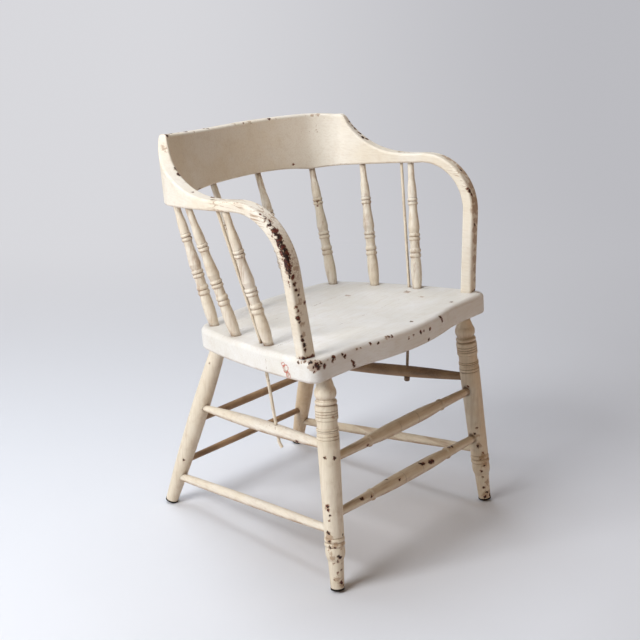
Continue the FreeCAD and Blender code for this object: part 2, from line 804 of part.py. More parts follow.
MATCH = 0.01
seat_base = rounded(seat, seat_pad, "seat_front_corners", "seat_front_corner",
                    lambda edge: upright_at(edge, "seat_front_half", "-seat_front"))
seat_base = rounded(seat, seat_base, "seat_rear_corners", "seat_rear_corner",
                    lambda edge: upright_at(edge, "seat_rear_half", "seat_rear"))
seat_base = rounded(seat, seat_base, "seat_top_edge", "seat_top_round", lambda edge: level_at(edge, 0))
seat_base = rounded(seat, seat_base, "seat_under_edge", "seat_under_round",
                    lambda edge: level_at(edge, -size("seat_thickness")))
seat.Placement = SEAT

dish = doc.addObject("Part::Sphere", "seat_dish")
dish.setExpression("Radius", cells("(dish_radius^2 + dish_depth^2) / (2 * dish_depth)"))
dish_rise = size("(dish_radius^2 + dish_depth^2) / (2 * dish_depth) - dish_depth")
dish.Placement = Placement(on_seat(0, -size("dish_forward"), -dish_rise), Rotation())
seat_drills = []

# Legs, their glides, and the holes for the stretchers' tenons.
tenon_holes = {}
for name in STRETCHERS:
    start, direction, length = stretcher_line(name)
    ends = zip(STRETCHERS[name], end_radii(name), (start, start + direction * length), (1, -1))
    for (side, end, _), radius, point, way in ends:
        inward = direction * way
        hole_start = point - inward * size("stretcher_past_middle + joint_gap")
        hole = rod_piece(f"{name}_hole_{side}_{end}", hole_start, inward, f"{radius} + joint_gap",
                         "stretcher_past_middle + joint_gap + stretcher_tenon")
        tenon_holes.setdefault((side, end), []).append(hole)

floor = doc.addObject("Part::Box", "floor")
floor_size = 4 * size("seat_front_half")
floor.Length = floor_size
floor.Width = floor_size
floor.Height = OVERCUT
floor.Placement = Placement(Vector(-floor_size / 2, -floor_size / 2, -OVERCUT), Rotation())

for side in SIDES:
    for end in ("front", "rear"):
        lower, axis, length = leg_ends(side, end)
        steps = front_leg_steps(length) if end == "front" else rear_leg_steps(length)
        turning = turned(f"leg_{end}_{side}", steps)
        turning.Placement = along(lower, axis)
        nail_hole = rod_piece(f"nail_hole_{end}_{side}", lower - axis * OVERCUT, axis,
                              "nail_radius + joint_gap", f"nail_length + joint_gap + {OVERCUT}")
        keep(f"leg_{end}_{side}", cut(f"leg_{end}_{side}", turning, tenon_holes[side, end] + [nail_hole]))
        top_radius = "neck_radius" if end == "front" else "rear_leg_top_radius"
        seat_drills.append(rod_piece(f"leg_socket_{end}_{side}", lower + axis * (length - OVERCUT), axis,
                                     f"{top_radius} + joint_gap", f"leg_tenon + joint_gap + {OVERCUT}"))
        glide = turned(f"glide_{end}_{side}", glide_steps())
        glide.Placement = along(lower - axis * size("glide_dome + glide_rim"), axis)
        keep(f"glide_{end}_{side}", cut(f"glide_{end}_{side}", glide, [floor]))

# Stretchers.
for name in STRETCHERS:
    start, direction, length = stretcher_line(name)
    first, last = end_radii(name)
    if "front" in name:
        steps = front_stretcher_steps(length)
    else:
        steps = plain_stretcher_steps(length, first, re.sub("end|front", "middle", first), last)
    piece = turned(name, steps)
    piece.Placement = along(start - direction * size("stretcher_past_middle"), direction)
    nodes[name] = piece

# Spindles, their holes in the seat, and their blind holes in the bow.
bow_drills = []
for name, (mark, side, run) in SPINDLES.items():
    top = under_bow(side, run)
    axis = (top - mark).normalize()
    length = (top - mark).Length
    spindle = turned(name, spindle_steps(length))
    spindle.Placement = along(mark - axis * size("spindle_seat_depth"), axis)
    keep(name, spindle)
    in_seat = "spindle_seat_depth + joint_gap"
    in_bow = "spindle_bow_depth + joint_gap"
    seat_drills.append(rod_piece(f"{name}_seat_hole", mark - axis * size(in_seat), axis,
                                 "spindle_foot_radius + joint_gap", f"{in_seat} + {OVERCUT}"))
    bow_drills.append(rod_piece(f"{name}_bow_hole", top - axis * OVERCUT, axis,
                                "spindle_top_radius + joint_gap", f"{in_bow} + {OVERCUT}"))

# Tie rods: a head sunk in the arm, a kink at the seat, and a nut or a bent tail below the stretcher.
rod_holes = {}
for side in SIDES:
    mark, under, low = rod_points(side)
    up = (under - mark).normalize()
    down = (low - mark).normalize()
    head = under + up * size("arm_depth - rod_head_sink - rod_head_thickness")
    upper_length = (head - mark).Length
    pieces = [rod_piece(f"rod_{side}_upper", mark, up, "rod_radius", f"{upper_length}"),
              rod_piece(f"rod_{side}_head", head, up, "rod_head_radius", "rod_head_thickness")]
    reach = (low - mark).Length + size("side_upper_middle_radius")
    end_length = reach + size("rod_tail" if side == "right" else "nut_seat_gap + nut_bore_depth - rod_gap")
    pieces.append(rod_piece(f"rod_{side}_lower", mark, down, "rod_radius", f"{end_length}"))
    kinks = [mark]
    if side == "right":
        kink = mark + down * end_length
        forward = down.cross(down.cross(Vector(0, 1, 0))).normalize()
        tail = down * cosine(size("rod_tail_bend")) + forward * sine(size("rod_tail_bend"))
        pieces.append(rod_piece("rod_right_tail", kink, tail, "rod_radius", "rod_tail"))
        kinks.append(kink)
    for place, kink in enumerate(kinks):
        ball = doc.addObject("Part::Sphere", f"rod_{side}_kink_{place}")
        ball.setExpression("Radius", cells("rod_radius"))
        ball.Placement = Placement(kink, Rotation())
        pieces.append(ball)
    rod = doc.addObject("Part::MultiFuse", f"tie_rod_{side}")
    rod.Shapes = pieces
    keep(f"tie_rod_{side}", rod)
    seat_drills.append(rod_piece(f"rod_{side}_seat_hole", mark - down * OVERCUT, down,
                                 "rod_radius + rod_gap", f"2 * seat_thickness + {OVERCUT}"))
    bow_drills.append(rod_piece(f"rod_{side}_bow_hole", under - up * OVERCUT, up,
                                "rod_radius + rod_gap", f"arm_depth + 2 * {OVERCUT}"))
    bow_drills.append(rod_piece(f"rod_{side}_head_hole", head - up * size("rod_gap"), up,
                                "rod_head_radius + rod_gap", f"rod_head_thickness + {OVERCUT}"))
    rod_holes[side] = rod_piece(f"rod_{side}_stretcher_hole", low - down * OVERCUT, down,
                                "rod_radius + rod_gap", f"2 * {OVERCUT}")
    if side == "left":
        nut_seat = mark + down * (reach + size("nut_seat_gap"))
        nut = turned("tie_rod_nut_left", [("0", "nut_radius"), ("nut_length - nut_crown", "nut_radius"),
                                          ("nut_length", "nut_radius / 2", "nut_crown_swell")])
        nut.Placement = along(nut_seat, down)
        bore = rod_piece("nut_bore", nut_seat - down * OVERCUT, down, "rod_radius + joint_gap",
                         f"nut_bore_depth + {OVERCUT}")
        keep("tie_rod_nut_left", cut("tie_rod_nut_left", nut, [bore]))

for side in SIDES:
    name = f"stretcher_side_upper_{side}"
    keep(name, cut(name + "_drilled", nodes[name], [rod_holes[side]]))
for name in STRETCHERS:
    keep(name, nodes[name])

# Arm bow: the bent plank, its two round tenons, and the holes for spindles and rods.
tenons = []
for side in SIDES:
    foot = post_mark(side)
    tenon_end = foot - SQUARE_TO_SEAT * size("post_tenon_length")
    tenons.append(rod_piece(f"post_tenon_{side}", tenon_end, SQUARE_TO_SEAT,
                            "post_tenon_radius", "post_tenon_length + post_tenon_radius"))
    seat_drills.append(rod_piece(f"post_socket_{side}", tenon_end - SQUARE_TO_SEAT * size("joint_gap"),
                                 SQUARE_TO_SEAT, "post_tenon_radius + joint_gap",
                                 f"post_tenon_length + {OVERCUT}"))
bow_solid = doc.addObject("Part::MultiFuse", "arm_bow_with_tenons")
bow_solid.Shapes = [arm_bow_blank()] + tenons
keep("arm_bow", cut("arm_bow", bow_solid, bow_drills))

# Seat boards: the shaped plank is three glued boards with hidden dowels across the seams.
seams = [size("front_board_depth - seat_front"), size("front_board_depth + middle_board_depth - seat_front")]
dowels = []
for number, seam in enumerate(seams, start=1):
    for place in (-1, 0, 1):
        for kind, gap in (("dowel", "0"), ("dowel_hole", "joint_gap")):
            start = on_seat(place * size("dowel_spacing"), seam - size(f"dowel_length / 2 + {gap}"),
                            size("seat_thickness / 2"))
            forward = SEAT.Rotation.multVec(Vector(0, 1, 0))
            peg = rod_piece(f"{kind}_{number}_{place + 2}", start, forward, f"dowel_radius + {gap}",
                            f"dowel_length + 2 * {gap}")
            (dowels if kind == "dowel" else seat_drills).append(peg)
dowel_group = doc.addObject("Part::Compound", "seat_dowels")
dowel_group.Links = dowels
keep("seat_dowels", dowel_group)

dished = cut("seat_dished", seat, [dish])
drilled = cut("seat_drilled", dished, seat_drills)
reach = 3 * size("seat_front_half")
bounds = [-reach, *seams, reach]
for place, board_name in enumerate(("front", "middle", "rear")):
    slab = doc.addObject("Part::Box", f"board_{board_name}_slab")
    slab.Length = 2 * reach
    slab.Width = bounds[place + 1] - bounds[place]
    slab.Height = 4 * size("seat_thickness")
    slab.Placement = SEAT * Placement(Vector(-reach, bounds[place], -2 * size("seat_thickness")), Rotation())
    board = doc.addObject("Part::Common", f"seat_board_{board_name}")
    board.Base = drilled
    board.Tool = slab
    keep(f"seat_board_{board_name}", board)

doc.recompute()
for item in doc.Objects:
    if "Invalid" in item.State or "Error" in item.State:
        raise ValueError(f"{item.Label} did not build: {item.State}")
for name, piece in nodes.items():
    if piece.Shape.isNull() or not piece.Shape.isValid():
        raise ValueError(f"{name} is not a sound solid")
for name, piece in nodes.items():
    piece.Shape.exportStep(f"parts/{name}.step")
print(len(nodes), "pieces")
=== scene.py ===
import math

import bpy
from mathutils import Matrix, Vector

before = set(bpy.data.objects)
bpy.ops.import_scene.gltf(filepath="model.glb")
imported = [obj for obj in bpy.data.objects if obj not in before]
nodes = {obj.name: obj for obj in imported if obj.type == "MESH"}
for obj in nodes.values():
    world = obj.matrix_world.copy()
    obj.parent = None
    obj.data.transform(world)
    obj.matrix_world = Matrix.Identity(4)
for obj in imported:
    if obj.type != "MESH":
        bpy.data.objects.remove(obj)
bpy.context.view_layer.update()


# Camera: the photograph was taken from the sitter's front right, a little above the arms, with
# a long lens. Its place was solved together with the size of the chair.
CAMERA_PLACE = (-1.7915, -1.5504, 1.2230)
CAMERA_DIP = 19.1
CAMERA_TURN = -49.1
LENS_LENGTH = 71.5
eye = bpy.data.cameras.new("eye")
eye.lens = LENS_LENGTH
camera = bpy.data.objects.new("eye", eye)
camera.location = CAMERA_PLACE
camera.rotation_euler = (math.radians(90 - CAMERA_DIP), 0, math.radians(CAMERA_TURN))
bpy.context.scene.collection.objects.link(camera)
bpy.context.scene.camera = camera
bpy.context.scene.view_settings.view_transform = "Standard"

# Studio: pale paper on the floor that turns up into a backdrop behind the chair. The light is one
# large soft lamp on the sitter's right, a softer one overhead, and a weak warm one from the front.
# Far from the chair, the camera sees the paper as a painted glow, lighter on the left.
FLOOR_COLOUR = (0.79, 0.82, 0.87, 1)
BACKDROP_GLOW_LEFT = (0.69, 0.69, 0.72, 1)
BACKDROP_GLOW_RIGHT = (0.50, 0.50, 0.53, 1)
ROOM_COLOUR = (0.60, 0.60, 0.63, 1)
ROOM_LIGHT = (0.95, 0.78, 0.61, 1)
ROOM_STRENGTH = 0.12
PAPER_REACH = 6.0
PAPER_TURN_START = 2.6
PAPER_TURN_RADIUS = 1.2
PAPER_TURN_STEPS = 12


class Flow:
    """A number, vector or colour in a material. Sums, products and so on add Math nodes."""

    def __init__(self, tree, socket=None):
        self.tree = tree
        self.socket = socket

    def node(self, kind, settings=None, inputs=None, output=0):
        """Add a node of this kind: its settings first, then its sockets. Gives one of its outputs."""
        made = self.tree.nodes.new(kind)
        for name, value in (settings or {}).items():
            setattr(made, name, value)
        for name, value in (inputs or {}).items():
            if isinstance(value, Flow):
                self.tree.links.new(value.socket, made.inputs[name])
            else:
                made.inputs[name].default_value = value
        return Flow(self.tree, made.outputs[output])

    def maths(self, operation, *values):
        return self.node("ShaderNodeMath", {"operation": operation}, dict(enumerate(values)))

    def vectors(self, operation, *values, output="Vector"):
        """Vector Math. A length, distance or product of two vectors comes from the output Value."""
        return self.node("ShaderNodeVectorMath", {"operation": operation}, dict(enumerate(values)), output)

    def feed(self, taker, name):
        """Link this to the named socket of a node."""
        self.tree.links.new(self.socket, taker.inputs[name])

    def __add__(self, other):
        return self.maths("ADD", self, other)

    def __radd__(self, other):
        return self.maths("ADD", other, self)

    def __sub__(self, other):
        return self.maths("SUBTRACT", self, other)

    def __rsub__(self, other):
        return self.maths("SUBTRACT", other, self)

    def __mul__(self, other):
        return self.maths("MULTIPLY", self, other)

    def __rmul__(self, other):
        return self.maths("MULTIPLY", other, self)

    def __or__(self, other):
        """The larger of the two: what lies under either of two masks."""
        return self.maths("MAXIMUM", self, other)


def rise(value, low, high):
    """0 below low and 1 above high, with a soft step between."""
    return value.node("ShaderNodeMapRange", {"interpolation_type": "SMOOTHSTEP"},
                      {"Value": value, "From Min": low, "From Max": high})


def tint(factor, under, over):
    """One colour laid over another, as much as factor says."""
    return factor.node("ShaderNodeMix", {"data_type": "RGBA"}, {0: factor, 6: under, 7: over}, 2)


def shade(name):
    """A new material. Gives it, its shader and a flow to build on."""
    material = bpy.data.materials.new(name)
    material.use_nodes = True
    shader = material.node_tree.nodes["Principled BSDF"]
    return material, shader, Flow(material.node_tree)


away = Vector((-math.sin(camera.rotation_euler.z), math.cos(camera.rotation_euler.z), 0))
across = Vector((away.y, -away.x, 0))
paper_profile = [(-PAPER_REACH, 0.0), (PAPER_TURN_START, 0.0)]
for step in range(1, PAPER_TURN_STEPS + 1):
    turn = math.radians(90 * step / PAPER_TURN_STEPS)
    paper_profile.append((PAPER_TURN_START + PAPER_TURN_RADIUS * math.sin(turn),
                          PAPER_TURN_RADIUS * (1 - math.cos(turn))))
paper_profile.append((PAPER_TURN_START + PAPER_TURN_RADIUS, PAPER_REACH))
paper_points = []
for depth, height in paper_profile:
    for side in (-PAPER_REACH, PAPER_REACH):
        paper_points.append(away * depth + across * side + Vector((0, 0, height)))
strips = range(0, len(paper_points) - 2, 2)
paper_mesh = bpy.data.meshes.new("studio_sweep")
paper_mesh.from_pydata(paper_points, [], [(i, i + 1, i + 3, i + 2) for i in strips])
for face in paper_mesh.polygons:
    face.use_smooth = True
paper = bpy.data.objects.new("studio_sweep", paper_mesh)
bpy.context.scene.collection.objects.link(paper)

paper_finish, shader, start = shade("studio_paper")
shader.inputs["Base Color"].default_value = FLOOR_COLOUR
shader.inputs["Roughness"].default_value = 0.9
point = start.node("ShaderNodeTexCoord", None, None, "Object")
depth = point.vectors("DOT_PRODUCT", point, away, output="Value")
sideways = point.vectors("DOT_PRODUCT", point, across, output="Value")
reach = point.vectors("LENGTH", point, output="Value")
# Painted light: far off, the paper shows the camera a glow that darkens from left to right.
far = rise(depth, 0.1, 2.0) | rise(reach, 1.3, 3.0)
seen = start.node("ShaderNodeLightPath", None, None, "Is Camera Ray") * far
glow = start.node("ShaderNodeEmission", None,
                  {"Color": tint(rise(sideways, -0.9, 1.3), BACKDROP_GLOW_LEFT, BACKDROP_GLOW_RIGHT)})
lit = Flow(start.tree, shader.outputs[0])
surface = start.node("ShaderNodeMixShader", None, {0: seen, 1: lit, 2: glow})
surface.feed(start.tree.nodes["Material Output"], "Surface")
paper_mesh.materials.append(paper_finish)


def lamp(name, place, target, width, power, colour):
    """A square soft lamp that faces the target."""
    light = bpy.data.lights.new(name, "AREA")
    light.size = width
    light.energy = power
    light.color = colour
    hung = bpy.data.objects.new(name, light)
    hung.location = place
    hung.rotation_euler = (Vector(target) - Vector(place)).to_track_quat("-Z", "Y").to_euler()
    bpy.context.scene.collection.objects.link(hung)


lamp("window", (-2.5, 0.45, 1.9), (0, 0, 0.4), width=1.3, power=71, colour=(1.0, 0.99, 0.99))
lamp("ceiling", (0.1, 0.9, 3.0), (0, 0, 0.3), width=1.8, power=45, colour=(0.92, 0.97, 1.05))
lamp("front_fill", (1.4, -2.8, 1.0), (0, 0, 0.4), width=1.6, power=10.5, colour=(1.0, 0.54, 0.24))
world = bpy.data.worlds.new("studio")
bpy.context.scene.world = world
world.use_nodes = True
dim = world.node_tree.nodes["Background"]
dim.inputs["Color"].default_value = ROOM_LIGHT
dim.inputs["Strength"].default_value = ROOM_STRENGTH
start = Flow(world.node_tree)
pale_walls = start.node("ShaderNodeBackground", None, {"Color": ROOM_COLOUR})
seen = start.node("ShaderNodeLightPath", None, None, "Is Camera Ray")
room = start.node("ShaderNodeMixShader", None, {0: seen, 1: Flow(start.tree, dim.outputs[0]), 2: pale_walls})
room.feed(start.tree.nodes["World Output"], "Surface")

# Seat: three hardwood boards glued edge to edge and hollowed a little on top. All the wood has old
# oil paint in several coats over brown stain, chipped down to the wood, dirty and painted with
# shade in the hollows, and painted with shade underneath. On the seat it is thick and grey, and
# most chipped at the front edge and the sitter's right corner.
SEAT_GREY = (0.80, 0.78, 0.72, 1)
SEAT_WHITE = (0.85, 0.84, 0.81, 1)
DINGY = (0.50, 0.37, 0.23, 1)
GRIME_AND_SHADE = (0.16, 0.095, 0.048, 1)
TAN = (0.36, 0.20, 0.095, 1)
STAIN = (0.13, 0.060, 0.024, 1)
DARK_WOOD = (0.020, 0.008, 0.005, 1)
RED_WOOD = (0.12, 0.018, 0.009, 1)
RUST = (0.24, 0.085, 0.028, 1)
RED_LINE = (0.50, 0.10, 0.05, 1)
# The share of the way along a piece that its brush marks leave out, which draws them out lengthways.
BRUSH_STRETCH = 0.94
# How far round a point, in metres, hollows gather grime and painted shade, and corners are felt as sharp.
HOLLOW_SHADE_REACH = 0.010
CORNER_REACH = 0.005
# About how many waves or cells of each pattern of the paint fit in a metre, across its brush marks.
STROKE_SCALE = 330
CLOUD_SCALE = 9
BLOTCH_SCALE = 42
SPECK_SCALE = 300
STREAK_SCALE = 75
CRACK_SCALE = 95
# Chips, rubs and rings are (x, y, z, radius) in mm. Many were picked in the photograph and
# carried onto the pieces by rays that another program cast through its camera, then rounded. The
# rest are given one by one.
SEAT_CHIPS = [
    # The sitter's right corner.
    (-259, -202, 439, 4), (-254, -211, 435, 5), (-251, -213, 430, 4), (-262, -176, 433, 3),
    (-246, -215, 437, 3), (-238, -215, 430, 4), (-247, -213, 441, 3), (-251, -207, 443, 2.5),
    (-262, -190, 438, 3), (-257, -199, 443, 2.5), (-263, -183, 437, 2), (-260, -208, 432, 2.5),
    (-258, -209, 424, 2.5),
    # The front edge.
    (-228, -215, 440, 2.5), (-212, -214, 438, 4), (-215, -215, 433, 3), (-189, -214, 437, 3),
    (-184, -215, 432, 4), (-166, -217, 418, 3), (-163, -218, 413, 4), (-161, -219, 408, 3),
    (-152, -216, 437, 2), (-142, -218, 437, 2), (-118, -221, 440, 2), (-103, -226, 436, 2.5),
    (-82, -226, 442, 2.5), (-75, -228, 442, 3), (-68, -230, 441, 3), (-27, -238, 429, 2.5),
    (-13, -238, 431, 2), (9, -238, 431, 3.5), (18, -238, 430, 2.5), (39, -237, 428, 3.5),
    (33, -239, 409, 3), (82, -229, 439, 4), (86, -230, 434, 3.5), (88, -230, 429, 3),
    # The top and the left corner.
    (16, -210, 443, 3), (163, -197, 442, 3), (194, -65, 429, 2.5), (-172, 70, 416, 3),
    (246, -203, 440, 3), (258, -209, 428, 3), (264, -196, 432, 4),
]
SEAT_RUBS = [
    (-257, -207, 434, 12), (-247, -214, 435, 6), (-261, -141, 416, 4.5), (-261, -150, 404, 5.5),
    (-262, -146, 410, 5), (188, -72, 429, 8), (120, 30, 420, 7), (170, -120, 434, 6), (-80, -227, 441, 6),
]
SEAT_RINGS = [(-262, -145, 414, 7), (-262, -151, 402, 6), (-262, -138, 420, 4)]


def grain(point, scale, detail, rough, output=0):
    """Noise of about 1 / scale metres."""
    return point.node("ShaderNodeTexNoise", None,
                      {"Vector": point, "Scale": scale, "Detail": detail, "Roughness": rough}, output)


def shifted(point, scale, reach, detail=2):
    """The point moved about by noise, so that what is laid out round it gets a ragged outline."""
    swirl = grain(point, scale, detail, 0.6, "Color")
    centred = point.vectors("ADD", point, (-reach / 2,) * 3)
    return point.vectors("MULTIPLY_ADD", swirl, (reach,) * 3, centred)


def distance(point, x, y, z):
    """From the point to a place given in mm, in metres."""
    return point.vectors("DISTANCE", point, (x / 1000, y / 1000, z / 1000), output="Value")


def inside_spots(point, spots):
    """How far the point lies inside the nearest of the round spots, in metres."""
    depth = None
    for x, y, z, radius in spots:
        inside = radius / 1000 - distance(point, x, y, z)
        depth = inside if depth is None else depth | inside
    return depth


def crazed(point, brushed, spots, blotches):
    """Mask of the net of cracks in brittle paint, round the given spots."""
    cell = point.node("ShaderNodeTexVoronoi", {"feature": "DISTANCE_TO_EDGE"},
                      {"Vector": shifted(brushed, 90, 0.02), "Scale": CRACK_SCALE}, "Distance")
    crack = (1 - rise(cell, 0.0, 0.06)) * rise(blotches, 0.42, 0.52)
    return crack * rise(inside_spots(point, spots), 0.0, 0.03)


def old_paint(name, along, light, pale, *, flaking, dirt_and_shade, edges, underside_shade, streaks=0.0,
              chips=(), rubs_and_shade=(), rings=(), ridge=None, cracks=(), stains=()):
    """The paint of one piece. along is the way its brush marks run, and light and pale are its
    clean colours. The shares are of flakes, dirt with painted shade in the hollows, worn corners,
    painted shade on the undersides, and brown streaks. Chips are bare wood, rubs are worn to the tan
    undercoat and on the bow's posts and left bend are also painted shade, rings are thin red
    outlines, cracks are crazed paint, and stains dark grime. ridge gives the depth inside a worn ridge."""
    material, shader, start = shade(name)
    point = start.node("ShaderNodeTexCoord", None, None, "Object")
    ragged = shifted(shifted(point, 110, 0.011, 3), 380, 0.004)

    # The patterns: brush marks along the piece, large clouds, blotches and fine specks.
    run = Vector(along).normalized()
    travel = point.vectors("DOT_PRODUCT", point, run, output="Value")
    lengthways = point.node("ShaderNodeVectorMath", {"operation": "SCALE"},
                            {0: run, "Scale": travel * BRUSH_STRETCH})
    brushed = point.vectors("SUBTRACT", point, lengthways)
    strokes = grain(brushed, STROKE_SCALE, 3, 0.6)
    clouds = grain(point, CLOUD_SCALE, 4, 0.6)
    blotches = grain(point, BLOTCH_SCALE, 5, 0.65)
    specks = grain(point, SPECK_SCALE, 2, 0.5)

    # The clean paint, the dirt on it, painted shade on its undersides, and grime with painted shade in its
    # hollows.
    colour = tint(rise(clouds, 0.35, 0.65), light, pale)
    colour = tint(rise(blotches, 0.48, 0.75) * (0.35 * dirt_and_shade), colour, DINGY)
    colour = tint(rise(strokes, 0.42, 0.72) * (0.10 + 0.12 * dirt_and_shade), colour, DINGY)
    if streaks:
        streak = rise(grain(brushed, STREAK_SCALE, 4, 0.7) + (clouds - 0.5) * 0.5, 0.5, 0.68)
        colour = tint(streak * streaks, colour, TAN)
    facing = start.node("ShaderNodeNewGeometry", None, None, "Normal")
    up = start.node("ShaderNodeSeparateXYZ", None, {"Vector": facing}, "Z")
    # Painted shade: faces turned downwards are tinted tan, more so where the blotches are.
    under = (1 - rise(up, -0.75, 0.15)) * (0.5 + rise(blotches, 0.35, 0.65) * 0.5)
    colour = tint(under * underside_shade, colour, TAN)
    # Hollows, creases and joints found by ambient occlusion are darkened: partly grime, partly painted
    # shade.
    hollow = point.node("ShaderNodeAmbientOcclusion", {"samples": 6}, {"Distance": HOLLOW_SHADE_REACH}, "AO")
    grime_and_shade = (1 - rise(hollow, 0.35, 0.92)) * (0.45 + rise(clouds, 0.3, 0.6) * 0.55)
    colour = tint(grime_and_shade * dirt_and_shade, colour, GRIME_AND_SHADE)

    # The wear is a depth in metres: above 0 the wood is bare, and just below it the paint is thin.
    blunt = point.node("ShaderNodeAmbientOcclusion", {"samples": 6, "inside": True},
                       {"Distance": CORNER_REACH}, "AO")
    rubbed = (1 - blunt) * 0.45 + grain(ragged, 55, 3, 0.6) + (clouds - 0.5) * 0.4 - (0.93 - 0.14 * edges)
    flakes = grain(ragged, 80, 3, 0.6) + (clouds - 0.5) * 0.5 - (0.82 - 0.07 * flaking)
    wear = (flakes * 0.03) | (rubbed * 0.02)
    if chips:
        wear = wear | inside_spots(ragged, chips)
    if ridge:
        wear = wear | ridge(point, ragged)
    bare = rise(wear, 0.0, 0.0008)
    thin = rise(wear, -0.0016, 0.0001)
    if rubs_and_shade:
        patchy = inside_spots(ragged, rubs_and_shade) + (grain(ragged, 170, 3, 0.7) - 0.55) * 0.02
        thin = thin | rise(patchy, -0.001, 0.002) * 0.85
    if cracks:
        thin = thin | crazed(point, brushed, cracks, blotches)

    # What the wear lays bare, and what is smeared or drawn on the paint.
    wood = tint(rise(grain(ragged, 130, 2, 0.5), 0.46, 0.60), DARK_WOOD, RED_WOOD)
    wood = tint(rise(grain(ragged, 210, 3, 0.6), 0.57, 0.68), wood, RUST)
    if stains:
        soiled = rise(inside_spots(shifted(point, 60, 0.01), stains), -0.003, 0.004)
        colour = tint(soiled * (0.55 + rise(blotches, 0.3, 0.6) * 0.35), colour, STAIN)
    colour = tint(thin * 0.75, colour, TAN)
    colour = tint(bare, colour, wood)
    for x, y, z, radius in rings:
        off_ring = start.maths("ABSOLUTE", distance(ragged, x, y, z) - radius / 1000)
        colour = tint((1 - rise(off_ring, 0.0005, 0.0017)) * 0.8, colour, RED_LINE)

    colour.feed(shader, "Base Color")
    (0.36 + blotches * 0.2 + bare * 0.25).feed(shader, "Roughness")
    height = blotches * 0.0009 + strokes * 0.00012 - bare * 0.0006 - thin * 0.0002 - specks * 0.00006
    bump = start.node("ShaderNodeBump", None, {"Height": height, "Distance": 1.0, "Strength": 0.8})
    bump.feed(shader, "Normal")
    return material


def coat(node, material):
    """Give a carried-over piece its finish."""
    for place in nodes[node].material_slots:
        place.material = material


seat_paint = old_paint("seat_paint", (1, 0, 0), SEAT_GREY, SEAT_WHITE, flaking=0.1, dirt_and_shade=0.35,
                       edges=0.35, underside_shade=0.6, chips=SEAT_CHIPS, rubs_and_shade=SEAT_RUBS, rings=SEAT_RINGS)
for board in ("front", "middle", "rear"):
    coat(f"seat_board_{board}", seat_paint)

# Dowels: six pegs of bare hardwood, glued into holes across the two seams of the seat.
# Nothing shows them once the boards are together.
PEG_LIGHT = (0.42, 0.27, 0.15, 1)
PEG_DARK = (0.30, 0.18, 0.09, 1)
dowel_wood, shader, start = shade("dowel_wood")
point = start.node("ShaderNodeTexCoord", None, None, "Object")
tint(grain(point, 90, 4, 0.6), PEG_LIGHT, PEG_DARK).feed(shader, "Base Color")
coat("seat_dowels", dowel_wood)

# Legs: four turned hardwood legs with round tenons glued into the seat, the front ones ringed.
# They are browner than the seat, the left ones most of all, and shoes have knocked their feet.
CREAM = (0.83, 0.75, 0.61, 1)
LEG_CREAM = (0.78, 0.69, 0.54, 1)
LEG_TAN = (0.68, 0.53, 0.35, 1)
RIGHT_LEG_CHIPS = [
    (-241, -218, 257, 3), (-230, -230, 257, 3), (-246, -229, 167, 4), (-246, -231, 160, 3.5),
    (-246, -235, 150, 2.5), (-247, -235, 140, 2.5), (-249, -235, 116, 4), (-249, -237, 101, 3.5),
    (-240, -256, 70, 4), (-244, -254, 62, 4), (-240, -258, 20, 4), (-235, -257, 12, 3),
    (-237, -221, 345, 2.5), (-195, 200, 107, 3), (-233, -258, 88, 2.5), (-250, -240, 90, 3),
    (-249, -238, 83, 2.5), (-228, -255, 96, 2), (-238, -258, 45, 2), (-223, -225, 341, 2.5),
    (-224, -226, 322, 2.5), (-222, -212, 372, 2), (-249, -250, 26, 2), (-245, -254, 40, 2),
    (-250, -247, 58, 2.5), (-243, -253, 74, 3), (-251, -243, 66, 2), (-238, -257, 84, 2.5),
    (-247, -248, 92, 2.5), (-251, -240, 104, 2), (-229, -250, 110, 2.5),
]
RIGHT_LEG_RUBS = [
    (-249, -236, 108, 9), (-247, -250, 96, 8), (-240, -257, 18, 8), (-246, -229, 165, 7),
    (-236, -258, 92, 7), (-248, -240, 78, 6), (-233, -258, 62, 6), (-232, -227, 345, 6),
    (-222, -226, 330, 5), (-246, -252, 30, 6), (-250, -244, 72, 7),
]
LEFT_LEG_CHIPS = [
    (203, -217, 258, 3), (211, -233, 156, 3), (240, -258, 14, 4), (246, -250, 24, 3.5),
    (238, -257, 34, 2), (232, -240, 127, 3), (246, -246, 96, 2.5), (228, -254, 12, 3.5),
    (232, -257, 22, 3), (226, -252, 34, 2.5), (224, -250, 58, 2), (219, -249, 72, 3),
    (224, -253, 84, 3), (217, -246, 98, 2.5), (222, -251, 112, 3), (214, -240, 128, 3.5),
    (212, -237, 168, 2.5),
]
LEFT_LEG_RUBS = [
    (243, -254, 20, 9), (236, -255, 96, 7), (246, -250, 60, 8), (232, -256, 44, 7), (226, -240, 120, 7),
    (229, -254, 16, 9), (226, -252, 88, 8), (220, -250, 104, 8), (216, -242, 128, 7), (215, -238, 150, 6),
]
# Dark grime round the joints of the stretchers.
JOINT_STAINS = [
    (201, -212, 245, 11), (209, -225, 142, 11), (-201, -212, 245, 7), (-209, -225, 142, 7),
    (216, -190, 268, 11), (160, 165, 221, 11), (186, 195, 62, 9),
]
leg_paint = old_paint("leg_paint", (0, 0, 1), LEG_CREAM, CREAM, flaking=0.5, dirt_and_shade=1.0, edges=0.4,
                      underside_shade=0.7, streaks=0.18, chips=RIGHT_LEG_CHIPS, rubs_and_shade=RIGHT_LEG_RUBS)
browner_paint = old_paint("browner_leg_paint", (0, 0, 1), LEG_TAN, LEG_CREAM, flaking=0.6, dirt_and_shade=1.0,
                          edges=0.4, underside_shade=0.8, streaks=0.25, chips=LEFT_LEG_CHIPS, rubs_and_shade=LEFT_LEG_RUBS,
                          stains=JOINT_STAINS)
for end in ("front", "rear"):
    coat(f"leg_{end}_right", leg_paint)
    coat(f"leg_{end}_left", browner_paint)
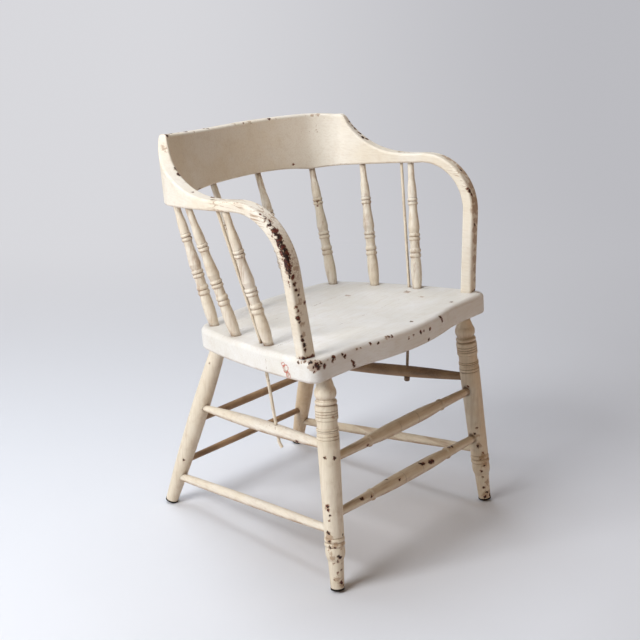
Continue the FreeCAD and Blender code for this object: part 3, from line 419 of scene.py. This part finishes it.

# Stretchers: eight turned rails glued into the legs, the front two with beads. The front and rear
# ones are the brownest pieces of the chair, and feet have chipped the lower front one. The rear
# ones and the upper left side rail, under the seat, are painted dark brown: partly their stain,
# partly painted shade.
IVORY = (0.87, 0.82, 0.72, 1)
RAIL_CREAM = (0.70, 0.59, 0.43, 1)
STAINED_AND_SHADED_BROWN = (0.17, 0.095, 0.045, 1)
STAINED_AND_SHADED_TAN = (0.36, 0.23, 0.12, 1)
FRONT_RAIL_CHIPS = [
    (27, -233, 152, 4.5), (33, -235, 151, 5), (52, -237, 149, 5), (59, -237, 148, 5), (-72, -226, 153, 3),
    (-48, -238, 148, 3), (-152, -234, 148, 4), (-157, -233, 148, 3), (-129, -237, 145, 3),
    (-122, -237, 145, 2), (136, -229, 151, 3), (128, -229, 151, 3), (-126, -223, 244, 3),
]
SIDE_RAIL_CHIPS = [(-219, -132, 255, 4)]
SIDEWAYS = (1, 0, 0)
LENGTHWAYS = (0, 1, 0.1)
front_rail_paint = old_paint("cross_rail_paint", SIDEWAYS, RAIL_CREAM, LEG_CREAM, flaking=0.5, dirt_and_shade=1.0,
                             edges=0.2, underside_shade=1.0, streaks=0.4, chips=FRONT_RAIL_CHIPS, stains=JOINT_STAINS)
# Dark brown paint for the rails under the seat: stain and painted shade together.
stained_and_shaded_rail_paint = old_paint("stained_and_shaded_rail_paint", SIDEWAYS, STAINED_AND_SHADED_BROWN, STAINED_AND_SHADED_TAN, flaking=1.0, dirt_and_shade=0.3,
                            edges=0.2, underside_shade=0.8, streaks=0.3)
right_rail_paint = old_paint("side_rail_paint", LENGTHWAYS, CREAM, IVORY, flaking=0.85, dirt_and_shade=0.8,
                             edges=0.2, underside_shade=1.0, streaks=0.15, chips=SIDE_RAIL_CHIPS)
tan_rail_paint = old_paint("tan_side_rail_paint", LENGTHWAYS, RAIL_CREAM, LEG_CREAM, flaking=1.0,
                           dirt_and_shade=0.9, edges=0.2, underside_shade=1.0, streaks=0.5)
for level in ("upper", "lower"):
    coat(f"stretcher_front_{level}", front_rail_paint)
    coat(f"stretcher_rear_{level}", stained_and_shaded_rail_paint)
    coat(f"stretcher_side_{level}_right", right_rail_paint)
coat("stretcher_side_lower_left", tan_rail_paint)
coat("stretcher_side_upper_left", stained_and_shaded_rail_paint)

# Glides: domed steel buttons on nails, driven into the feet and gone dark.
# The floor has worn a small flat on each.
STEEL_BLACK = (0.006, 0.005, 0.005, 1)
STEEL_BROWN = (0.020, 0.013, 0.010, 1)
glide_steel, shader, start = shade("dark_steel")
point = start.node("ShaderNodeTexCoord", None, None, "Object")
patina = grain(point, 300, 3, 0.6)
tint(rise(patina, 0.4, 0.7), STEEL_BLACK, STEEL_BROWN).feed(shader, "Base Color")
(0.45 + patina * 0.3).feed(shader, "Roughness")
shader.inputs["Metallic"].default_value = 0.6
for end in ("front", "rear"):
    for side in ("left", "right"):
        coat(f"glide_{end}_{side}", glide_steel)

# Spindles: eight turned rods glued into the seat and the bow, four on each side. Grime and painted
# shade sit in their rings, and brown shows through the paint in streaks along them.
SPINDLE_CHIPS = [
    (183, 166, 581, 2.5), (183, 166, 572, 2.5), (228, 81, 581, 2), (-185, 164, 581, 2), (-238, 60, 620, 2.5),
]
spindle_paint = old_paint("spindle_paint", (0, 0, 1), CREAM, IVORY, flaking=0.25, dirt_and_shade=1.2, edges=0.2,
                          underside_shade=0.9, streaks=0.5, chips=SPINDLE_CHIPS)
for side in ("left", "right"):
    for place in ("front", "middle", "rear", "back"):
        coat(f"spindle_{side}_{place}", spindle_paint)

# Arm bow: one steam-bent plank for the crest, the arms and both posts, glued to the spindles and
# the seat by tenons. Hands have worn the bends of the arms down to red-brown wood, and the crest
# and the shoulders are chipped along the top.
# The outer ridge of an arm's bend runs close to an arc round this middle, in mm.
BEND_MIDDLE_Y = -57
BEND_MIDDLE_Z = 585
BEND_RADIUS = 116
RIGHT_RIDGE_X = -281
BOW_CHIPS = [
    # The crest's top edge and its lower edge.
    (-194, 213, 771, 4), (-186, 219, 770, 3), (-166, 232, 767, 3.5), (-121, 240, 763, 3.5),
    (-114, 243, 763, 3), (-60, 252, 760, 3), (-54, 247, 760, 3.5), (43, 243, 759, 2.5),
    (110, 236, 759, 4), (125, 227, 759, 4), (138, 220, 759, 3.5), (150, 214, 759, 3),
    (144, 199, 663, 3),
    # The right shoulder and arm.
    (-226, 156, 720, 4), (-231, 143, 713, 4.5), (-255, 82, 694, 2.5), (-253, 34, 692, 4.5),
    (-255, 28, 692, 3),
    # The left shoulder and arm.
    (252, 137, 745, 3.5), (253, 129, 738, 3), (253, 123, 732, 3.5), (255, 113, 724, 3.5),
    (251, 101, 717, 4.5), (257, 96, 713, 3.5), (266, 14, 695, 1.6), (270, 6, 695, 1.8),
    (272, -3, 696, 1.6),
    # The right post.
    (-273, -176, 590, 4), (-272, -178, 578, 4), (-270, -179, 566, 3.5), (-264, -181, 556, 3),
    (-252, -182, 542, 3), (-271, -179, 537, 3), (-267, -181, 530, 3), (-268, -181, 517, 4),
    (-266, -182, 510, 3), (-262, -187, 485, 3), (-261, -186, 477, 3.5), (-259, -187, 468, 4),
    (-258, -188, 459, 3.5),
    # The left bend and post.
    (274, -132, 677, 3.5), (259, -159, 646, 3), (262, -163, 642, 4.5), (264, -167, 634, 4),
    (262, -179, 575, 4),
    # Dark gaps where the posts meet the seat.
    (-255, -192, 442, 4.5), (-248, -193, 442, 4.5), (-241, -192, 442, 4), (-261, -187, 442, 4.5),
    (-262, -179, 442, 3.5), (255, -192, 442, 3.5), (262, -185, 442, 4), (246, -193, 442, 3),
]
# Patches worn to the tan undercoat. Those along the left bend and down the posts are also painted shade.
bow_rubs_and_shade = [
    # The end of the right shoulder.
    (-217, 198, 751, 5), (-214, 204, 756, 4), (-219, 192, 746, 4),
    # The crest's top edge.
    (-140, 240, 765, 5), (-100, 240, 762, 5), (20, 248, 759, 5), (60, 245, 759, 6), (140, 219, 759, 5),
    (150, 215, 759, 6), (161, 210, 759, 6), (170, 208, 759, 6), (180, 205, 759, 6), (192, 204, 759, 6),
    (204, 202, 759, 6), (216, 195, 759, 6),
]
# Along the outer face of the left bend: worn undercoat and painted shade on a face turned from the light.
BEND_RUBS_AND_SHADE = 12
for place in range(BEND_RUBS_AND_SHADE):
    turn = math.radians(15 + 7 * place)
    bow_rubs_and_shade.append((279 - 9 * (place / (BEND_RUBS_AND_SHADE - 1)) ** 2, BEND_MIDDLE_Y - BEND_RADIUS * math.sin(turn),
                     BEND_MIDDLE_Z + BEND_RADIUS * math.cos(turn), 8.5 + 2.5 * math.sin(2.3 * place)))
# Down the front faces of both posts, the right one's smaller: worn undercoat and painted shade.
POST_RUBS_AND_SHADE = 9
for place in range(POST_RUBS_AND_SHADE):
    out = 266 - place
    forward = -174 - 1.6 * place
    height = 625 - 20 * place
    radius = 9.5 + 2.5 * math.sin(2.2 * place)
    bow_rubs_and_shade.append((out, forward, height, radius))
    bow_rubs_and_shade.append((-out, forward, height, 0.55 * radius))
BOW_CRACKS = [(-272, -30, 690, 60), (-278, -110, 680, 60), (-276, -160, 620, 60), (268, -140, 670, 45)]


def worn_bend(point, ragged):
    """Depth inside the worn band on the outer ridge of the right arm's bend, in metres."""
    x, y, z = [ragged.node("ShaderNodeSeparateXYZ", None, {"Vector": ragged}, axis) for axis in "XYZ"]
    side = x - RIGHT_RIDGE_X / 1000
    forward = BEND_MIDDLE_Y / 1000 - y
    raised = z - BEND_MIDDLE_Z / 1000
    out = forward.maths("SQRT", forward * forward + raised * raised) - BEND_RADIUS / 1000
    off_ridge = side.maths("SQRT", side * side + out * out)
    # The band opens out from the top of the bend, and fades away below its end.
    angle = forward.maths("ARCTAN2", forward, raised)
    opening = rise(angle, 0.25, 1.0) * 0.0060 + rise(angle, 0.1, 0.4) * 0.0010
    width = opening * (1 - rise(angle, 1.35, 1.75))
    ragged_edge = (grain(point, 130, 3, 0.7) - 0.52) * 0.022
    return width + ragged_edge * rise(angle, 0.1, 0.3) - off_ridge


bow_paint = old_paint("bow_paint", (0, 1, 0), CREAM, IVORY, flaking=0.15, dirt_and_shade=0.45, edges=0.55, underside_shade=0.5,
                      chips=BOW_CHIPS, rubs_and_shade=bow_rubs_and_shade, ridge=worn_bend, cracks=BOW_CRACKS)
coat("arm_bow", bow_paint)

# Tie rods: steel rods from the arms through the seat to the side stretchers, painted over with the
# chair. The left one ends in a nut, and below the seat its paint has gone to rust.
RUSTY_END = [(199, -68, 310, 105)]
rod_paint = old_paint("rod_paint", (0, 0, 1), LEG_CREAM, CREAM, flaking=0.9, dirt_and_shade=1.2, edges=0, underside_shade=1.0)
rusty_paint = old_paint("rusty_rod_paint", (0, 0, 1), LEG_CREAM, CREAM, flaking=0.9, dirt_and_shade=0.9, edges=0,
                        underside_shade=1.0, streaks=0.3, stains=RUSTY_END)
coat("tie_rod_right", rod_paint)
coat("tie_rod_left", rusty_paint)
coat("tie_rod_nut_left", rusty_paint)
